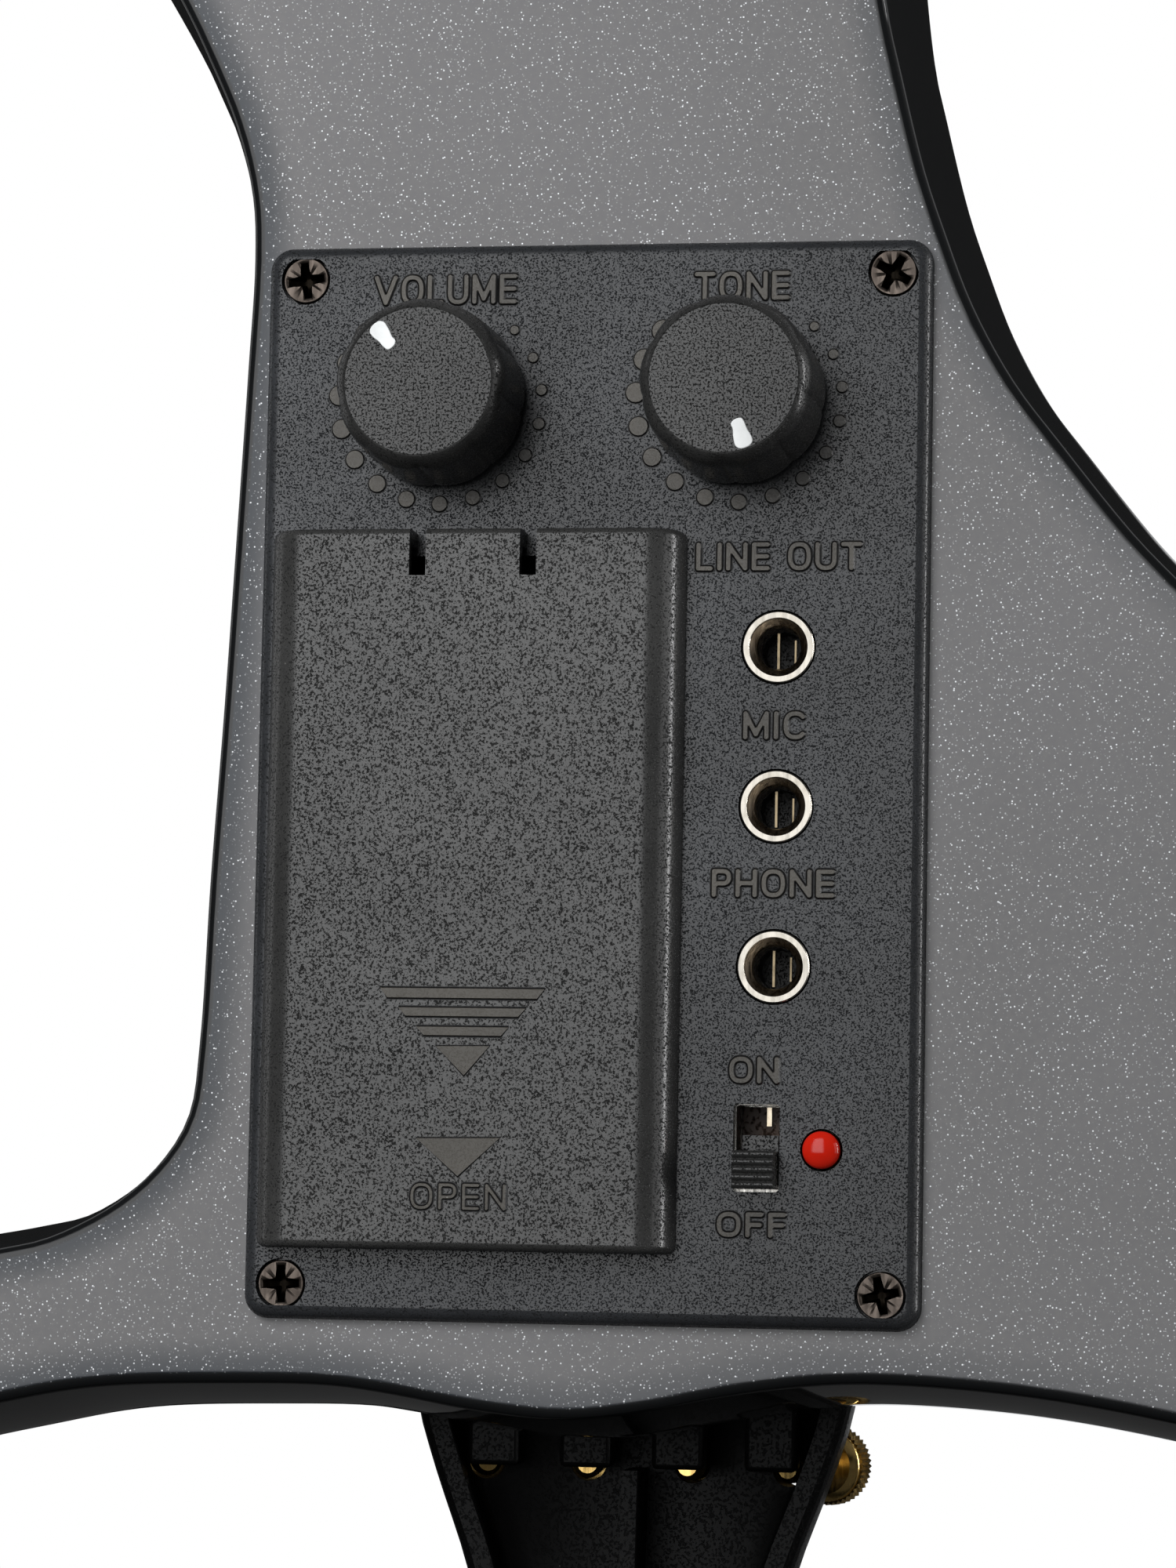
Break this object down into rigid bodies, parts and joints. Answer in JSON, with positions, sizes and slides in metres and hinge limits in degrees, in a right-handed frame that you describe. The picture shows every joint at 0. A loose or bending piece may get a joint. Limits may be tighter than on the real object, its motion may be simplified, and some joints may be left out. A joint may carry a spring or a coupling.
{
  "type": "electric violin",
  "caption": "Solid electric violin with an open-framed body, a back control panel with sliding battery cover, sockets and switch, and a fine-tuner tailpiece.",
  "frame": {"origin": "the upper end of the pegbox just under the scroll, where a hanger holds the violin, in the plane of the body's back", "axes": "+Z along the strings towards the scroll, +Y from the back to the strings, +X to the right seen from the back"},
  "size_m": [0.2114, 0.0745, 0.6007],
  "materials": {
    "sparkle_lacquer": "grey sparkle lacquer over wood, gloss black edge",
    "panel_plastic": "fine-grained black ABS",
    "knob_plastic": "grained black plastic",
    "white_inlay": "white pointer inlay",
    "bronze_screws": "dark bronze plated screws",
    "nickel": "bright nickel plate",
    "steel": "plain steel",
    "black_composite": "matte black moulded composite",
    "gold": "gold plated, knurled",
    "red_lens": "clear red lamp lens",
    "battery_case": "plain dark printed steel case",
    "lead_rubber": "black insulation and snap",
    "circuit_laminate": "green solder mask",
    "ebony": "polished black hardwood",
    "bridge_maple": "pale maple",
    "gloss_black": "gloss black lacquer over maple"
  },
  "bodies": {
    "violin": {"body": "sparkle_lacquer", "control_panel": "panel_plastic", "panel_screw_top_left": "bronze_screws", "panel_screw_top_right": "bronze_screws", "panel_screw_bottom_left": "bronze_screws", "panel_screw_bottom_right": "bronze_screws", "volume_pot": "steel", "tone_pot": "steel", "line_out_sleeve": "nickel", "line_out_jack": "black_composite", "mic_sleeve": "nickel", "mic_jack": "black_composite", "phone_sleeve": "nickel", "phone_jack": "black_composite", "power_switch": "nickel", "power_led": "red_lens", "battery": "battery_case", "battery_snap": "lead_rubber", "battery_lead": "lead_rubber", "circuit_board": "circuit_laminate", "pickup_lead": "lead_rubber", "bridge_pickup": "steel", "bridge": "bridge_maple", "fingerboard": "ebony", "nut": "ebony", "neck": "gloss_black", "tailpiece": "black_composite", "string_g": "steel", "string_d": "steel", "string_a": "steel", "string_e": "steel", "saddle": "ebony", "end_pin": "ebony", "tail_gut": "lead_rubber", "chin_rest": "ebony", "chin_rest_bracket": "nickel"},
    "peg_g": {"peg_g": "ebony"},
    "peg_e": {"peg_e": "ebony"},
    "peg_d": {"peg_d": "ebony"},
    "peg_a": {"peg_a": "ebony"},
    "volume_control": {"volume_knob": "knob_plastic", "volume_pointer": "white_inlay", "volume_shaft": "steel"},
    "tone_control": {"tone_knob": "knob_plastic", "tone_pointer": "white_inlay", "tone_shaft": "steel"},
    "switch_slider": {"switch_slider": "knob_plastic"},
    "battery_cover": {"battery_cover": "panel_plastic"},
    "fine_tuner_screw_g": {"fine_tuner_screw_g": "gold"},
    "fine_tuner_lever_g": {"fine_tuner_lever_g": "black_composite"},
    "fine_tuner_screw_d": {"fine_tuner_screw_d": "gold"},
    "fine_tuner_lever_d": {"fine_tuner_lever_d": "black_composite"},
    "fine_tuner_screw_a": {"fine_tuner_screw_a": "gold"},
    "fine_tuner_lever_a": {"fine_tuner_lever_a": "black_composite"},
    "fine_tuner_screw_e": {"fine_tuner_screw_e": "gold"},
    "fine_tuner_lever_e": {"fine_tuner_lever_e": "black_composite"},
    "chin_rest_barrel_inner": {"chin_rest_barrel_inner": "nickel"},
    "chin_rest_barrel_outer": {"chin_rest_barrel_outer": "nickel"},
    "chin_rest_foot": {"chin_rest_foot": "nickel"}
  },
  "joints": [
    {"name": "peg_g_turn", "type": "hinge", "parent": "violin", "child": "peg_g", "pos_m": [0, 0.00795, -0.05119], "axis": [1, 0, 0], "continuous": true},
    {"name": "peg_e_turn", "type": "hinge", "parent": "violin", "child": "peg_e", "pos_m": [0, 0.00454, -0.03787], "axis": [1, 0, 0], "continuous": true},
    {"name": "peg_d_turn", "type": "hinge", "parent": "violin", "child": "peg_d", "pos_m": [0, 0.0013, -0.02381], "axis": [1, 0, 0], "continuous": true},
    {"name": "peg_a_turn", "type": "hinge", "parent": "violin", "child": "peg_a", "pos_m": [0, -0.00129, -0.00975], "axis": [1, 0, 0], "continuous": true},
    {"name": "volume_turn", "type": "hinge", "parent": "violin", "child": "volume_control", "pos_m": [-0.01209, -0.005, -0.36774], "axis": [0, 1, 0], "range_deg": [-280, 0]},
    {"name": "tone_turn", "type": "hinge", "parent": "violin", "child": "tone_control", "pos_m": [0.01325, -0.005, -0.36774], "axis": [0, 1, 0], "range_deg": [-122, 158]},
    {"name": "power_switch_slide", "type": "slide", "parent": "violin", "child": "switch_slider", "axis": [0, 0, 1], "range_m": [0, 0.0035]},
    {"name": "battery_cover_slide", "type": "slide", "parent": "violin", "child": "battery_cover", "axis": [0, 0, -1], "range_m": [0, 0.008]},
    {"name": "fine_tuner_g_turn", "type": "hinge", "parent": "violin", "child": "fine_tuner_screw_g", "pos_m": [0.0126, 0.0365, -0.4579], "axis": [0.2867, 0.958, 0], "range_deg": [0, 1440]},
    {"name": "fine_tuner_g_tip", "type": "hinge", "parent": "violin", "child": "fine_tuner_lever_g", "pos_m": [0.0126, 0.038, -0.4477], "axis": [-1, 0, 0], "range_deg": [0, 12.2]},
    {"name": "fine_tuner_d_turn", "type": "hinge", "parent": "violin", "child": "fine_tuner_screw_d", "pos_m": [0.0042, 0.0365, -0.4579], "axis": [0.0956, 0.9954, 0], "range_deg": [0, 1440]},
    {"name": "fine_tuner_d_tip", "type": "hinge", "parent": "violin", "child": "fine_tuner_lever_d", "pos_m": [0.0042, 0.038, -0.4477], "axis": [-1, 0, 0], "range_deg": [0, 12.2]},
    {"name": "fine_tuner_a_turn", "type": "hinge", "parent": "violin", "child": "fine_tuner_screw_a", "pos_m": [-0.0042, 0.0365, -0.4579], "axis": [-0.0956, 0.9954, 0], "range_deg": [0, 1440]},
    {"name": "fine_tuner_a_tip", "type": "hinge", "parent": "violin", "child": "fine_tuner_lever_a", "pos_m": [-0.0042, 0.038, -0.4477], "axis": [-1, 0, 0], "range_deg": [0, 12.2]},
    {"name": "fine_tuner_e_turn", "type": "hinge", "parent": "violin", "child": "fine_tuner_screw_e", "pos_m": [-0.0126, 0.0365, -0.4579], "axis": [-0.2867, 0.958, 0], "range_deg": [0, 1440]},
    {"name": "fine_tuner_e_tip", "type": "hinge", "parent": "violin", "child": "fine_tuner_lever_e", "pos_m": [-0.0126, 0.038, -0.4477], "axis": [-1, 0, 0], "range_deg": [0, 12.2]},
    {"name": "chin_rest_inner_barrel_turn", "type": "hinge", "parent": "violin", "child": "chin_rest_barrel_inner", "pos_m": [0.0365, 0.014, -0.5645], "axis": [0, 1, 0], "range_deg": [0, 1081]},
    {"name": "chin_rest_outer_barrel_turn", "type": "hinge", "parent": "violin", "child": "chin_rest_barrel_outer", "pos_m": [0.0555, 0.014, -0.5645], "axis": [0, 1, 0], "range_deg": [0, 1081]},
    {"name": "chin_rest_foot_slide", "type": "slide", "parent": "violin", "child": "chin_rest_foot", "axis": [0, -1, 0], "range_m": [0, 0.0024]}
  ],
  "couplings": [
    {"joint": "fine_tuner_g_tip", "follows": "fine_tuner_g_turn", "ratio": 0.008333},
    {"joint": "fine_tuner_d_tip", "follows": "fine_tuner_d_turn", "ratio": 0.008333},
    {"joint": "fine_tuner_a_tip", "follows": "fine_tuner_a_turn", "ratio": 0.008333},
    {"joint": "fine_tuner_e_tip", "follows": "fine_tuner_e_turn", "ratio": 0.008333},
    {"joint": "chin_rest_inner_barrel_turn", "follows": "chin_rest_foot_slide", "rad_per_m": 7854},
    {"joint": "chin_rest_outer_barrel_turn", "follows": "chin_rest_foot_slide", "rad_per_m": 7854}
  ]
}
